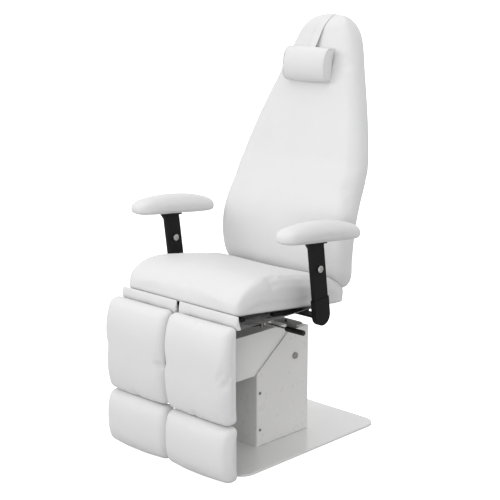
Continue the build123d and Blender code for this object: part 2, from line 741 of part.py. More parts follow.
def head_pillow():
    """A D-section roll. Its flat side leans forward from the backrest, round its lower edge."""
    height = PILLOW_TOP - PILLOW_BOTTOM
    back = Line((0, 0, 6), (0, 0, height - 6))
    front = Spline(
        (0, 0, height - 6),
        (0, -0.35 * PILLOW_DEPTH, height),
        (0, -0.88 * PILLOW_DEPTH, height - 24),
        (0, -PILLOW_DEPTH, height / 2),
        (0, -0.88 * PILLOW_DEPTH, 24),
        (0, -0.35 * PILLOW_DEPTH, 0),
        (0, 0, 6),
    )
    face = make_face([back, front])
    roll = extrude(face, amount=PILLOW_LENGTH, dir=(1, 0, 0))
    foot = Pos(PILLOW_CENTRE_X - PILLOW_LENGTH / 2, PILLOW_BACK, PILLOW_BOTTOM)
    return in_back(foot * Rot(PILLOW_LEAN, 0, 0) * roll)


# ---- gas spring ---------------------------------------------------------------------------------
GAS_FOOT = (-60.0, 466.0)


def along_gas(distance):
    span = math.dist(GAS_FOOT, CRANK_PIN)
    y = GAS_FOOT[0] + (CRANK_PIN[0] - GAS_FOOT[0]) * distance / span
    z = GAS_FOOT[1] + (CRANK_PIN[1] - GAS_FOOT[1]) * distance / span
    return (0, y, z)


def gas_spring_cylinder():
    """The cylinder of the locking gas spring, with its foot eye."""
    cylinder = rod_between(along_gas(14), along_gas(158), 10.0)
    cylinder += rod_x(GAS_FOOT, 10.0, -6, 6) + rod_between(along_gas(0), along_gas(16), 5.0)
    cylinder -= rod_x(GAS_FOOT, 4.0 + RUNNING_GAP, -20, 20)
    return cylinder - rod_between(along_gas(24), along_gas(160), 4.0 + RUNNING_GAP)


def gas_spring_rod():
    span = math.dist(GAS_FOOT, CRANK_PIN)
    rod = rod_between(along_gas(142), along_gas(span - 4), 4.0)
    return rod + rod_x(CRANK_PIN, 9.0, -9, 9) + rod_x(CRANK_PIN, 4.0, -21, 21)


# ---- leg rests ----------------------------------------------------------------------------------
TRAY = 5.0
TUBE_Y = LEG_BACK + TRAY + 9.0
TUBE_RADIUS = 10.0
SLIDE_RADIUS = 6.0


def soft_block(x0, x1, y0, y1, z0, z1, radius):
    pad = block(x0, x1, y0, y1, z0, z1)
    return fillet(pad.edges(), radius)


def calf_cushion(side):
    x = side * LEG_X
    return soft_block(x - LEG_HALF_WIDTH, x + LEG_HALF_WIDTH, LEG_FRONT, LEG_BACK, CALF_BOTTOM, CALF_TOP, 24.0)


def foot_cushion(side):
    x = side * LEG_X
    return soft_block(x - LEG_HALF_WIDTH - 1, x + LEG_HALF_WIDTH + 1, LEG_FRONT, LEG_BACK, FOOT_BOTTOM, FOOT_TOP, 24.0)


def leg_frame(side):
    """The pressed tray behind the calf pad, its hinge straps and two guide tubes."""
    x = side * LEG_X
    tray = block(x - 118, x + 118, LEG_BACK, LEG_BACK + TRAY, CALF_BOTTOM + 16, CALF_TOP - 14)
    y, z = LEG_PIVOT
    strap_outline = [
        (LEG_BACK + TRAY, 500),
        (LEG_BACK + TRAY + 6, 500),
        (y + 6, 536),
        (y + 4, z - 1),
        (y + 2, z + 4),
        (y - 2, z + 4),
        (y - 4, z),
        (y - 4, 556),
        (LEG_BACK + TRAY, CALF_TOP - 16),
    ]
    for hinge in (-1, 1):
        centre = x + hinge * LEG_HINGE_X
        strap = side_plate(strap_outline, centre - 3, centre + 3)
        tray += strap - rod_x(LEG_PIVOT, HINGE_PIN + RUNNING_GAP, centre - 4, centre + 4)
        tube_x = x + hinge * LEG_TUBE_X
        tray += rod_z(tube_x, TUBE_Y, TUBE_RADIUS, CALF_BOTTOM + 10, 500)
        tray -= rod_z(tube_x, TUBE_Y, SLIDE_RADIUS + RUNNING_GAP, CALF_BOTTOM, 490)
    return tray


def foot_slider(side):
    """The foot pad's backing plate and the two rods that slide in the guide tubes."""
    x = side * LEG_X
    plate = block(x - 118, x + 118, LEG_BACK, LEG_BACK + TRAY, FOOT_BOTTOM + 16, FOOT_TOP - 14)
    for hinge in (-1, 1):
        rod_at = x + hinge * LEG_TUBE_X
        plate += rod_z(rod_at, TUBE_Y, SLIDE_RADIUS, FOOT_BOTTOM + 40, 420)
        for z in (FOOT_BOTTOM + 44, FOOT_TOP - 40):
            plate += block(rod_at - 8, rod_at + 8, LEG_BACK + TRAY, TUBE_Y, z, z + 14)
    return plate


# ---- armrests -----------------------------------------------------------------------------------
BOLT_HEIGHT = 166.0


def armrest_sleeve(side):
    """The lower sleeve with a round foot. It turns on the armrest pivot, which ends inside it."""
    half = SLEEVE_DEPTH / 2
    width = SLEEVE_WIDTH / 2
    sleeve = block(-width, width, -half, half, 0, SLEEVE_HEIGHT) + rod_x((0, 0), half, -width, width)
    socket = block(
        -POST_WIDTH / 2 - RUNNING_GAP,
        POST_WIDTH / 2 + RUNNING_GAP,
        -POST_DEPTH / 2 - RUNNING_GAP,
        POST_DEPTH / 2 + RUNNING_GAP,
        12,
        SLEEVE_HEIGHT + 1,
    )
    x0, x1 = sorted((-side * 30, side * (width - ARMREST_PIN_COVER)))
    sleeve = sleeve - socket - rod_x((0, 0), ARMREST_PIN + RUNNING_GAP, x0, x1)
    return in_armrest(sleeve, side)


def armrest_post(side):
    """The sliding post with the plate that the arm pad is screwed to."""
    half = POST_DEPTH / 2
    width = POST_WIDTH / 2
    post = block(-width, width, -half, half, 14, POST_TOP)
    post -= rod_x((0, BOLT_HEIGHT), 5.0 + RUNNING_GAP, -30, 30)
    flare = [(-half, POST_TOP - 22), (half, POST_TOP - 22), (half + 12, POST_TOP), (-half - 12, POST_TOP)]
    post += side_plate(flare, -width, width)
    post = in_armrest(post, side) - in_arm_pad(block(-60, 60, -120, 120, -1, PAD_HEIGHT), side)
    centre = side * (ARMREST_X - PAD_X)
    return post + in_arm_pad(block(centre - 17, centre + 17, -56, 27, -5, 0), side)


def armrest_bolt(side):
    """The through bolt that clamps the post, with a round head on each face."""
    width = POST_WIDTH / 2
    bolt = rod_x((0, BOLT_HEIGHT), 5.0, -width, width)
    for face in (-1, 1):
        x0, x1 = sorted((face * width, face * (width + 9)))
        bolt += fillet(rod_x((0, BOLT_HEIGHT), 12.5, x0, x1).edges().filter_by(GeomType.CIRCLE), 3.0)
    return in_armrest(bolt, side)


def armrest_pad(side):
    """The arm pad: flat below, domed above, with round ends."""
    body = extrude(SlotOverall(PAD_LENGTH, PAD_WIDTH, rotation=90), amount=PAD_HEIGHT)
    top = body.edges().group_by(Axis.Z)[-1]
    pad = fillet(top, 30.0)
    pad = chamfer(pad.edges().group_by(Axis.Z)[0], 6.0)
    return in_arm_pad(pad, side)


def write(name, shape):
    shape.label = name
    export_step(shape, f"parts/{name}.step")


def main():
    os.makedirs("parts", exist_ok=True)
    single = [
        base_plate, casing_front_panel, casing_rear_panel, fasteners, pedestal_plates, lift_shaft,
        link_pin, actuator_mount, arm_bars, arm_side_covers, arm_top_cover, arm_cross_members,
        level_link, actuator_tube, actuator_motor, actuator_rod, carrier_plates, front_pivot_pins,
        seat_beams, seat_rails, seat_cross_members, seat_board, seat_cushion, recline_brackets,
        leg_hinge_lugs, armrest_brackets, lever_bracket, lever_bush, release_lever, lever_grip,
        backrest_cushion, backrest_board, backrest_uprights, backrest_straps, gas_spring_crank,
        pillow_strap, head_pillow, gas_spring_cylinder, gas_spring_rod,
    ]
    paired = [
        casing_side_panel, front_flap, calf_cushion, foot_cushion, leg_frame, foot_slider,
        armrest_sleeve, armrest_post, armrest_bolt, armrest_pad,
    ]
    for maker in single:
        write(maker.__name__, maker())
    for maker in paired:
        for side, word in ((1, "left"), (-1, "right")):
            write(f"{maker.__name__}_{word}", maker(side))


main()
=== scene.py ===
import json
import math

import bpy
import numpy as np
from mathutils import Matrix, Vector


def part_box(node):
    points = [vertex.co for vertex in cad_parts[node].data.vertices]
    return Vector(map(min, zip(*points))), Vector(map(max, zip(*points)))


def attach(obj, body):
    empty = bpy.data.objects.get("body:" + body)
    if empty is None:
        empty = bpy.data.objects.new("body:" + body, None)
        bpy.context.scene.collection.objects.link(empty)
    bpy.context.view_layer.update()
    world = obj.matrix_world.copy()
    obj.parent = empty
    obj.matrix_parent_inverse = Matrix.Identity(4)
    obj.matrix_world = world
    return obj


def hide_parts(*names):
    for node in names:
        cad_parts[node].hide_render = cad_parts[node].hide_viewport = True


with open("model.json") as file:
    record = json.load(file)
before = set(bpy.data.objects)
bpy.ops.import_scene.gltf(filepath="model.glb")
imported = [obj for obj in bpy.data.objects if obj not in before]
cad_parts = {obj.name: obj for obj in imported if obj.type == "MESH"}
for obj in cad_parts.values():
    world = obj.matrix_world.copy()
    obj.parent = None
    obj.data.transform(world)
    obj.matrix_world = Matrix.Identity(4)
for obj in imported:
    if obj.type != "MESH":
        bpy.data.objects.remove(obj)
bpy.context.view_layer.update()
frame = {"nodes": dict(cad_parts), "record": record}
nodes = frame["nodes"]

# ---- camera -------------------------------------------------------------------------------------
AZIMUTH = math.radians(43.9)
ELEVATION = math.radians(13.1)
CAMERA_AT = Vector((2.9879, -3.1556, 1.700))
SENSOR = 36.0
FOCAL_SHARE = 2.486  # focal length as a share of the picture's width


def make_camera():
    camera = bpy.data.objects.new("camera", bpy.data.cameras.new("camera"))
    bpy.context.scene.collection.objects.link(camera)
    back = Vector((
        math.sin(AZIMUTH) * math.cos(ELEVATION),
        -math.cos(AZIMUTH) * math.cos(ELEVATION),
        math.sin(ELEVATION),
    ))
    camera.location = CAMERA_AT
    camera.rotation_euler = (-back).to_track_quat("-Z", "Y").to_euler()
    camera.data.sensor_width = SENSOR
    camera.data.lens = SENSOR * FOCAL_SHARE
    camera.data.clip_end = 100.0
    bpy.context.scene.camera = camera


# ---- light and floor ----------------------------------------------------------------------------
def area_light(name, place, target, size, power):
    light = bpy.data.lights.new(name, "AREA")
    light.shape = "RECTANGLE"
    light.size, light.size_y = size
    light.energy = power
    lamp = bpy.data.objects.new(name, light)
    bpy.context.scene.collection.objects.link(lamp)
    lamp.location = place
    lamp.rotation_euler = (Vector(target) - Vector(place)).to_track_quat("-Z", "Y").to_euler()


def light_dome(world, from_minus_x, from_plus_x):
    """A white sky whose light fades from one side of the object to the other."""
    world.use_nodes = True
    tree = world.node_tree
    background = tree.nodes["Background"]
    background.inputs["Color"].default_value = (1.0, 1.0, 1.0, 1.0)
    direction = tree.nodes.new("ShaderNodeTexCoord")
    parts = tree.nodes.new("ShaderNodeSeparateXYZ")
    fade = tree.nodes.new("ShaderNodeMapRange")
    fade.inputs["From Min"].default_value = -1.0
    fade.inputs["From Max"].default_value = 1.0
    fade.inputs["To Min"].default_value = from_minus_x
    fade.inputs["To Max"].default_value = from_plus_x
    ray = tree.nodes.new("ShaderNodeLightPath")
    seen = tree.nodes.new("ShaderNodeMix")
    seen.inputs["B"].default_value = 1.0
    tree.links.new(direction.outputs["Generated"], parts.inputs["Vector"])
    tree.links.new(parts.outputs["X"], fade.inputs["Value"])
    tree.links.new(fade.outputs["Result"], seen.inputs["A"])
    tree.links.new(ray.outputs["Is Camera Ray"], seen.inputs["Factor"])
    tree.links.new(seen.outputs["Result"], background.inputs["Strength"])


def make_studio():
    scene = bpy.context.scene
    scene.view_settings.view_transform = "Standard"
    world = bpy.data.worlds.new("studio")
    scene.world = world
    light_dome(world, 1.00, 0.80)
    middle = (0.0, -0.05, 0.7)
    area_light("key_soft_box", (-2.6, -3.6, 2.9), middle, (2.4, 2.2), 45)
    area_light("top_soft_box", (0.3, -0.4, 4.2), middle, (3.0, 3.0), 24)
    area_light("front_fill", (2.7, -3.4, 1.2), (0.0, 0.0, 0.4), (0.8, 0.8), 26)
    reach = 60
    corners = [(-reach, -reach, 0), (reach, -reach, 0), (reach, reach, 0), (-reach, reach, 0)]
    floor = mesh_piece("floor", corners, [(0, 1, 2, 3)])
    floor.location.z = -0.0005
    floor.data.materials.append(floor_paint())


# ---- node materials -----------------------------------------------------------------------------
class Paint:
    """A small builder for one procedural material."""

    def __init__(self, name, colour, roughness, metallic=0.0):
        self.material = bpy.data.materials.new(name)
        self.material.use_nodes = True
        self.tree = self.material.node_tree
        self.shader = self.tree.nodes["Principled BSDF"]
        self.shader.inputs["Roughness"].default_value = roughness
        self.shader.inputs["Metallic"].default_value = metallic
        self.roughness = roughness
        self.place = self.add("ShaderNodeTexCoord").outputs["Object"]
        self.set_colour(colour)

    def add(self, kind, **inputs):
        node = self.tree.nodes.new(kind)
        for key, value in inputs.items():
            node.inputs[key].default_value = value
        return node

    def link(self, start, end):
        self.tree.links.new(start, end)

    def set_colour(self, colour):
        self.shader.inputs["Base Color"].default_value = (*colour, 1.0)

    def noise(self, scale, detail=3.0, stretch=None):
        node = self.add("ShaderNodeTexNoise", Scale=scale, Detail=detail)
        place = self.place
        if stretch:
            mapping = self.add("ShaderNodeMapping", Scale=stretch)
            self.link(place, mapping.inputs["Vector"])
            place = mapping.outputs["Vector"]
        self.link(place, node.inputs["Vector"])
        return node.outputs["Fac"]

    def cells(self, scale):
        node = self.add("ShaderNodeTexVoronoi", Scale=scale)
        node.feature = "DISTANCE_TO_EDGE"
        self.link(self.place, node.inputs["Vector"])
        return node.outputs["Distance"]

    def ramp(self, value, low, high, to_low, to_high):
        node = self.add("ShaderNodeMapRange")
        node.inputs["From Min"].default_value = low
        node.inputs["From Max"].default_value = high
        node.inputs["To Min"].default_value = to_low
        node.inputs["To Max"].default_value = to_high
        self.link(value, node.inputs["Value"])
        return node.outputs["Result"]

    def tint(self, value, other, low=0.35, high=0.65):
        """Varies the base colour towards another colour where the value is high."""
        mix = self.add("ShaderNodeMix")
        mix.data_type = "RGBA"
        current = self.shader.inputs["Base Color"]
        if current.is_linked:
            self.link(current.links[0].from_socket, mix.inputs["A"])
        else:
            mix.inputs["A"].default_value = current.default_value[:]
        mix.inputs["B"].default_value = (*other, 1.0)
        self.link(self.ramp(value, low, high, 0.0, 1.0), mix.inputs["Factor"])
        self.link(mix.outputs["Result"], current)

    def rough(self, value, spread):
        self.link(
            self.ramp(value, 0.3, 0.7, self.roughness - spread, self.roughness + spread),
            self.shader.inputs["Roughness"],
        )

    def bump(self, value, distance, strength=1.0):
        """Stacks one more bump on the surface. The distance is in metres."""
        node = self.add("ShaderNodeBump", Strength=strength, Distance=distance)
        self.link(value, node.inputs["Height"])
        current = self.shader.inputs["Normal"]
        if current.is_linked:
            self.link(current.links[0].from_socket, node.inputs["Normal"])
        self.link(node.outputs["Normal"], current)


def scaled(colour, share):
    return tuple(min(1.0, c * share) for c in colour)


def floor_paint():
    """Studio sweep: burnt out to white where it is seen, a calmer grey where it only bounces light."""
    paint = Paint("studio_floor", (0.50, 0.50, 0.50), 0.7)
    paint.tint(paint.noise(1.3), (0.48, 0.48, 0.48))
    ray = paint.add("ShaderNodeLightPath")
    paint.shader.inputs["Emission Color"].default_value = (1.0, 1.0, 1.0, 1.0)
    paint.link(ray.outputs["Is Camera Ray"], paint.shader.inputs["Emission Strength"])
    return paint.material


def white_upholstery():
    """Artificial leather: fine pebble grain, faint drawn folds and a soft sheen."""
    base = (0.71, 0.712, 0.71)
    paint = Paint("white_artificial_leather", base, 0.5)
    paint.tint(paint.noise(9.0, 4.0), scaled(base, 0.98), 0.4, 0.7)
    paint.tint(paint.noise(420.0, 2.0), scaled(base, 0.95), 0.5, 0.75)
    paint.rough(paint.noise(60.0, 3.0), 0.05)
    paint.bump(paint.noise(16.0, 2.0, (1.0, 1.0, 0.35)), 0.0012, 0.6)
    paint.bump(paint.cells(700.0), 0.00012, 0.35)
    paint.shader.inputs["Sheen Weight"].default_value = 0.08
    paint.shader.inputs["Specular IOR Level"].default_value = 0.42
    return paint.material


def sheet_paint(name, base, roughness, dust=0.975):
    """Smooth powder paint with a slight orange-peel surface."""
    paint = Paint(name, base, roughness)
    paint.tint(paint.noise(5.0, 3.0), scaled(base, dust), 0.4, 0.75)
    paint.rough(paint.noise(24.0, 3.0), 0.04)
    paint.bump(paint.noise(520.0, 2.0), 0.00004, 0.3)
    return paint


def casing_paint():
    return sheet_paint("casing_powder_paint", (0.74, 0.737, 0.72), 0.3).material


def arm_paint():
    return sheet_paint("arm_cover_paint", (0.80, 0.80, 0.79), 0.34).material


def plate_paint():
    """Glossy paint of the base plate, which mirrors the casing a little."""
    paint = sheet_paint("base_plate_gloss_paint", (0.74, 0.745, 0.74), 0.16)
    paint.shader.inputs["Coat Weight"].default_value = 0.6
    paint.shader.inputs["Coat Roughness"].default_value = 0.08
    return paint.material


def black_powder():
    """Textured black powder coat with small grey specks."""
    paint = Paint("black_textured_powder", (0.008, 0.008, 0.008), 0.55)
    paint.shader.inputs["Specular IOR Level"].default_value = 0.14
    paint.tint(paint.noise(900.0, 2.0), (0.025, 0.025, 0.025), 0.55, 0.75)
    paint.rough(paint.noise(200.0, 2.0), 0.08)
    paint.bump(paint.noise(750.0, 2.0), 0.00035, 0.7)
    return paint.material


def grey_steel():
    return sheet_paint("grey_frame_paint", (0.30, 0.30, 0.295), 0.42, 0.85).material


def plated_steel(name="zinc_plated_steel", base=(0.62, 0.61, 0.59), roughness=0.26):
    paint = Paint(name, base, roughness, 1.0)
    paint.tint(paint.noise(70.0, 4.0), scaled(base, 0.75), 0.4, 0.75)
    paint.rough(paint.noise(140.0, 3.0), 0.09)
    paint.bump(paint.noise(300.0, 2.0, (1.0, 1.0, 8.0)), 0.00006, 0.4)
    return paint.material


def bronze():
    base = (0.33, 0.13, 0.075)
    paint = Paint("bronze_bush", base, 0.36, 0.8)
    paint.tint(paint.noise(160.0, 3.0), scaled(base, 0.6))
    paint.rough(paint.noise(220.0, 3.0), 0.08)
    return paint.material


def moulded_black():
    paint = Paint("moulded_black_plastic", (0.014, 0.014, 0.015), 0.42)
    paint.tint(paint.noise(30.0, 3.0), (0.025, 0.025, 0.026))
    paint.rough(paint.noise(90.0, 3.0), 0.06)
    paint.bump(paint.noise(1100.0, 2.0), 0.00010, 0.5)
    return paint.material


def ribbed_grip():
    """Soft black grip with ribs round it."""
    paint = Paint("ribbed_black_grip", (0.012, 0.012, 0.013), 0.5)
    paint.shader.inputs["Specular IOR Level"].default_value = 0.35
    paint.tint(paint.noise(40.0, 3.0), (0.02, 0.02, 0.021))
    paint.rough(paint.noise(90.0, 3.0), 0.06)
    ribs = paint.add("ShaderNodeTexWave", Scale=48.0)
    paint.link(paint.place, ribs.inputs["Vector"])
    paint.bump(ribs.outputs["Fac"], 0.0012, 0.8)
    return paint.material


def dust_cover():
    """Thin non-woven cloth tacked under the seat board."""
    paint = Paint("black_dust_cover", (0.05, 0.05, 0.052), 0.85)
    paint.tint(paint.noise(350.0, 3.0, (1.0, 2.6, 1.0)), (0.09, 0.09, 0.092))
    paint.bump(paint.noise(500.0, 3.0, (1.0, 3.0, 1.0)), 0.0004, 0.6)
    paint.bump(paint.noise(14.0, 2.0), 0.002, 0.5)
    return paint.material


# ---- mesh helpers -------------------------------------------------------------------------------
def mesh_piece(name, points, faces):
    data = bpy.data.meshes.new(name)
    data.from_pydata([tuple(p) for p in points], [], faces)
    data.validate()
    data.update()
    piece = bpy.data.objects.new(name, data)
    bpy.context.scene.collection.objects.link(piece)
    return piece


def coords(piece):
    co = np.zeros(len(piece.data.vertices) * 3)
    piece.data.vertices.foreach_get("co", co)
    return co.reshape(-1, 3)


def set_coords(piece, co):
    piece.data.vertices.foreach_set("co", np.ascontiguousarray(co, dtype=np.float64).ravel())
    piece.data.update()


def smooth_shade(piece):
    piece.data.polygons.foreach_set("use_smooth", [True] * len(piece.data.polygons))


def apply_modifier(piece, kind, **settings):
    modifier = piece.modifiers.new(kind, kind)
    for key, value in settings.items():
        setattr(modifier, key, value)
    bpy.context.view_layer.objects.active = piece
    bpy.ops.object.modifier_apply(modifier=modifier.name)


def cube_grid(steps):
    """The surface of a cube from -1 to 1, as points and quads."""
    points, faces, index = [], [], {}

    def point(p):
        key = tuple(round(v, 6) for v in p)
        if key not in index:
            index[key] = len(points)
            points.append(p)
        return index[key]

    for axis in range(3):
        for side in (-1.0, 1.0):
            for i in range(steps):
                for j in range(steps):
                    quad = []
                    for a, b in ((i, j), (i + 1, j), (i + 1, j + 1), (i, j + 1)):
                        p = [0.0, 0.0, 0.0]
                        p[axis] = side
                        p[(axis + 1) % 3] = -1 + 2 * a / steps
                        p[(axis + 2) % 3] = -1 + 2 * b / steps
                        quad.append(point(tuple(p)))
                    faces.append(quad if side > 0 else quad[::-1])
    return np.array(points), faces


def round_edged(p, half, corner, near, far, thin, power=2.2):
    """Turns cube points into a block with rounded edges, as shares of its half sizes.

    The corner is the radius across the pad's face. The edges curve by the near depth on the negative
    side of the thin axis, and by the far depth on its positive side."""
    q = np.sin(p * math.pi / 2) * half
    reach = np.full(p.shape, corner)
    reach[:, thin] = np.where(p[:, thin] < 0, near, far)
    inner = np.clip(q, reach - half, half - reach)
    out = (q - inner) / reach
    length = np.sum(np.abs(out) ** power, axis=1, keepdims=True) ** (1.0 / power)
    return (inner + reach * out / length) / half


def soft_block(name, steps, shape, place=Matrix.Identity(4)):
    points, faces = cube_grid(steps)
    piece = mesh_piece(name, shape(points), faces)
    piece.matrix_world = place
    return piece


def local_box(node, place):
    """Lowest and highest corner of a CAD node in a tilted frame."""
    co = coords(nodes[node])
    inverse = np.array(place.inverted())
    local = co @ inverse[:3, :3].T + inverse[:3, 3]
    return local.min(0), local.max(0)


# ---- cloth --------------------------------------------------------------------------------------
CLOTH_FRAMES = 20
PRESSURE = 3.0
LARGE_VOXEL = 0.006
LEG_VOXEL = 0.005
SMALL_VOXEL = 0.004


def settle(jobs):
    """Blows the pads up as sewn covers, all at once. Each job is a pad, its cap on how far a point
    may move, and the mesh size."""
    scene = bpy.context.scene
    bpy.context.view_layer.update()
    started = []
    for piece, _, voxel in jobs:
        apply_modifier(piece, "REMESH", mode="VOXEL", voxel_size=voxel)
        apply_modifier(piece, "SMOOTH", factor=0.5, iterations=6)
        started.append(coords(piece))
        cloth = piece.modifiers.new("cloth", "CLOTH")
        settings = cloth.settings
        settings.quality = 4
        settings.mass = 0.4
        settings.tension_stiffness = 25.0
        settings.compression_stiffness = 25.0
        settings.shear_stiffness = 12.0
        settings.bending_stiffness = 2.0
        settings.use_pressure = True
        settings.uniform_pressure_force = PRESSURE
        settings.effector_weights.gravity = 0.0
        cloth.point_cache.frame_end = CLOTH_FRAMES
    for number in range(1, CLOTH_FRAMES + 1):
        scene.frame_set(number)
    graph = bpy.context.evaluated_depsgraph_get()
    results = []
    for piece, *_ in jobs:
        shown = piece.evaluated_get(graph)
        mesh = shown.to_mesh()
        co = np.zeros(len(mesh.vertices) * 3)
        mesh.vertices.foreach_get("co", co)
        results.append(co.reshape(-1, 3).copy())
        shown.to_mesh_clear()
    for (piece, cap, _), before, after in zip(jobs, started, results):
        piece.modifiers.clear()
        move = after - before
        length = np.linalg.norm(move, axis=1, keepdims=True)
        set_coords(piece, before + move * np.minimum(1.0, cap / np.maximum(length, 1e-9)))
        apply_modifier(piece, "SMOOTH", factor=0.5, iterations=4)
    scene.frame_set(1)


def keep_side(piece, axis, limit, below):
    """Flattens a pad where it lies on its board, in the pad's own frame."""
    co = coords(piece)
    co[:, axis] = np.minimum(co[:, axis], limit) if below else np.maximum(co[:, axis], limit)
    set_coords(piece, co)


def dress(piece, body, node, material):
    smooth_shade(piece)
    piece.data.materials.clear()
    piece.data.materials.append(material)
    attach(piece, body)
    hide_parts(node)


# ---- frames of the tilted parts -----------------------------------------------------------------
def tilted(origin, degrees):
    return Matrix.Translation(origin) @ Matrix.Rotation(math.radians(degrees), 4, "X")


SEAT_PLACE = tilted((0.0, -0.110, 0.5306), -6.0)
BACK_PLACE = tilted((0.0, 0.078, 0.631), -18.4)


# ---- seat cushion -------------------------------------------------------------------------------
SEAT_PLAY = (0.003, 0.003, 0.002)  # how far the pad stays inside its solid, each way
NOSE_DEPTH = 0.16
NOSE_POWER = 2.2
NOSE_FOOT = 0.012
SEAT_DIP = 0.004


def seat_cushion():
    """A full pad with a quarter-round front, its crest behind the knees and a slope at the rear."""
    low, high = local_box("seat_cushion", SEAT_PLACE)
    half = np.array((high - low) / 2 - SEAT_PLAY)
    middle = (high + low) / 2
    front, bottom = middle[1] - half[1], low[2]
    # how far back from the front, and how high above the underside, behind the curved front
    profile = (
        (0.0, 0.117), (0.160, 0.117), (0.200, 0.118), (0.300, 0.113), (0.400, 0.107), (0.446, 0.101),
        (0.486, 0.089), (0.518, 0.077), (0.542, 0.063), (0.556, 0.050), (0.564, 0.034),
    )
    steps, rises = zip(*profile)

    def top(u, x):
        dip = SEAT_DIP * np.exp(-(x / 0.15) ** 2) * np.clip((u - front) * 8 - 1, 0, 1)
        ahead = 1 - np.clip((u - front) / NOSE_DEPTH, 0, 1)
        nose = (1 - ahead ** NOSE_POWER) ** (1 / NOSE_POWER)
        return bottom + NOSE_FOOT + (np.interp(u - front, steps, rises) - NOSE_FOOT) * nose - dip

    def shape(p):
        q = round_edged(p, half, 0.024, 0.006, 0.020, 2)
        x = q[:, 0] * half[0]
        u = middle[1] + q[:, 1] * half[1]
        height = np.clip((q[:, 2] + 1) / 2, 0, 1)
        w = bottom + (top(u, x) - bottom) * height
        return np.stack([x, u, w], 1)

    return soft_block("seat_cushion_cover", 70, shape, SEAT_PLACE)


# ---- backrest -----------------------------------------------------------------------------------
BACK_THICKNESS = 0.078
BACK_FORWARD = 0.006  # how far the pad stands in front of its solid
BACK_WIDER = 0.007
BACK_TOP_WIDER = 0.006
BACK_TOP_RAISE = 0.012
BACK_CROWN = 0.004
BACK_FOOT_SLOPE = 0.35


def back_hit(start, direction):
    """Where a ray in the backrest's frame meets its CAD solid."""
    solid = nodes["backrest_cushion"]
    found, place, _, _ = solid.ray_cast(BACK_PLACE @ start, BACK_PLACE.to_3x3() @ direction)
    return BACK_PLACE.inverted() @ place if found else None


def back_section(v):
    """Front face and half width of the backrest solid at a height."""
    front = back_hit(Vector((0.01, -0.5, v)), Vector((0, 1, 0)))
    side = back_hit(Vector((0.8, front.y + 0.03, v)), Vector((-1, 0, 0))) if front else None
    return (front.y, side.x) if side else None


def backrest_cushion():
    """A pad of even thickness with rounded edges. It follows the solid's side curve."""
    low, high = local_box("backrest_cushion", BACK_PLACE)
    heights = np.linspace(low[2] + 0.024, high[2] - 0.0015, 90)
    heights = [v for v in heights if back_section(v)]
    fronts, widths = zip(*(back_section(v) for v in heights))
    foot = heights[4]
    foot_front = np.interp(foot, heights, fronts)
    half = np.array((0.280, BACK_THICKNESS / 2, (high[2] - low[2]) / 2))

    def shape(p):
        q = round_edged(p, half, 0.052, 0.042, 0.016, 1, 2.0)
        share = (q[:, 2] + 1) / 2
        bottom = np.interp(q[:, 1], (-1.0, 0.5), (low[2] + 0.020, low[2])) + 0.002
        v = bottom + share * (high[2] + 0.002 - bottom)
        width = np.interp(v - BACK_TOP_RAISE * share ** 10, heights, widths)
        x = q[:, 0] * (width + BACK_WIDER + BACK_TOP_WIDER * share ** 6)
        edge = np.maximum(np.abs(q[:, 0]), np.abs(2 * share - 1) ** 2)
        crown = BACK_CROWN * (1 - edge ** 2)
        sloped = foot_front + (foot - v) * BACK_FOOT_SLOPE
        front = np.where(v < foot, sloped, np.interp(v, heights, fronts))
        y = front - BACK_FORWARD + (q[:, 1] + 1) / 2 * BACK_THICKNESS - np.where(q[:, 1] < 0, crown, 0)
        return np.stack([x, y, v], 1)

    return soft_block("backrest_cushion_cover", 90, shape, BACK_PLACE)


# ---- leg pads -----------------------------------------------------------------------------------
LEG_PAD_INWARD = 0.004  # how far each pad bulges towards its twin
LEG_PAD_PLAY = 0.001
# how far the pad thins at its top and at its lower end, its drop and its foot
CALF_PAD = (0.45, 0.30, 0.002, 0.002)
FOOT_PAD = (0.30, 0.34, -0.002, 0.0)


def leg_pad(node, side, top_end, low_end, drop, foot):
    """A pad with a flat back and a crowned front. Its two ends thin out by their own shares. Its top
    lies a drop below the solid's, and its lower end reaches past the solid by the foot."""
    low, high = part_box(node)
    top, bottom = high.z - drop, low.z - foot
    half = np.array((
        (high.x - low.x + LEG_PAD_INWARD) / 2 - LEG_PAD_PLAY,
        (high.y - low.y) / 2 - LEG_PAD_PLAY,
        (top - bottom) / 2,
    ))
    centre = (
        (low.x + high.x - side * LEG_PAD_INWARD) / 2,
        (low.y + high.y) / 2,
        (top + bottom) / 2,
    )

    def shape(p):
        q = round_edged(p, half, 0.022, 0.034, 0.008, 1)
        x = centre[0] + q[:, 0] * half[0]
        z = centre[2] + q[:, 2] * half[2]
        ends = np.where(q[:, 2] > 0, top_end, low_end) * np.abs(q[:, 2]) ** 3.0
        thin = 1 - ends - 0.10 * np.abs(q[:, 0]) ** 3
        depth = (1 - q[:, 1]) * half[1]
        return np.stack([x, centre[1] + half[1] - depth * thin, z], 1)

    return soft_block(node.replace("cushion", "cushion_cover"), 44, shape)


FLAP_SAG = 0.018  # how far the inner end hangs lower
FLAP_SAG_REACH = 0.060
FLAP_SWELL = 0.0035
FLAP_RIPPLE = 0.0012
FLAP_HALF_FOOT = 0.0095
FLAP_TAPER = 0.0070


